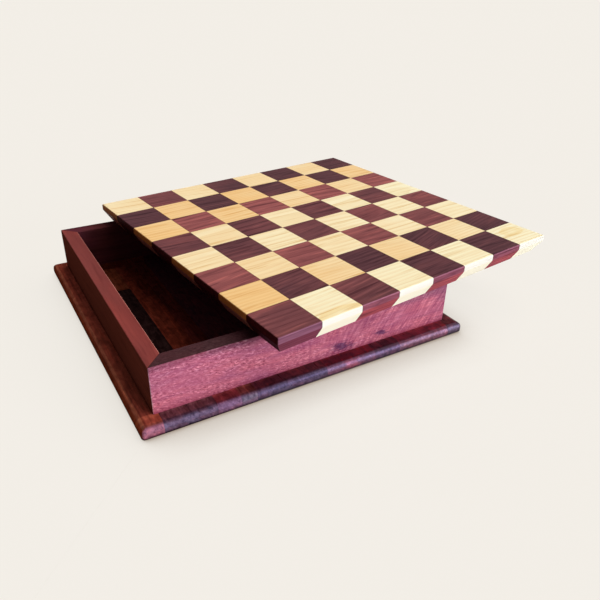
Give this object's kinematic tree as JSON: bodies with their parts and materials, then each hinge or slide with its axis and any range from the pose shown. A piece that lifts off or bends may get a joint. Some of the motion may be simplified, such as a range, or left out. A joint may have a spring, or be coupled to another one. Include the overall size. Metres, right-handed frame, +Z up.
{
  "type": "chess box",
  "caption": "Shallow wooden storage box on a wider rounded base, with a loose thick chessboard for a lid, resting ajar and slightly turned on the rim.",
  "frame": {"origin": "centre of the box base's underside, where the box stands", "axes": "+Z up; +X to the right along the front wall; +Y from the front wall to the back wall"},
  "size_m": [0.4656, 0.3992, 0.078],
  "materials": {
    "board_dark": "oiled, satin",
    "board_light": "oiled, satin",
    "wall_front": "satin varnish",
    "wall_side": "satin varnish",
    "wall_back": "satin varnish",
    "base_red": "satin varnish",
    "base_purple": "satin varnish",
    "cleat": "oiled, matt",
    "screw": "plain"
  },
  "bodies": {
    "box": {"wall_front": "wall_front", "wall_back": "wall_back", "wall_left": "wall_side", "wall_right": "wall_front", "base_board_1": "base_red", "base_board_2_front": "base_purple", "base_board_2_back": "base_red", "base_board_3": "base_red", "base_board_4": "base_purple", "base_board_5": "base_purple", "base_board_6": "base_red", "base_board_7": "base_purple", "base_board_8": "base_red", "base_board_9": "base_purple"},
    "lid": {"file_a_dark": "board_dark", "file_a_light": "board_light", "file_b_dark": "board_dark", "file_b_light": "board_light", "file_c_dark": "board_dark", "file_c_light": "board_light", "file_d_dark": "board_dark", "file_d_light": "board_light", "file_e_dark": "board_dark", "file_e_light": "board_light", "file_f_dark": "board_dark", "file_f_light": "board_light", "file_g_dark": "board_dark", "file_g_light": "board_light", "file_h_dark": "board_dark", "file_h_light": "board_light", "lid_cleat_left": "cleat", "lid_cleat_right": "cleat", "lid_screws": "screw"}
  },
  "joints": [
    {"name": "lid_lift", "type": "slide", "parent": "box", "child": "lid", "axis": [0, 0, 1], "range_m": [0, 0.12]}
  ]
}
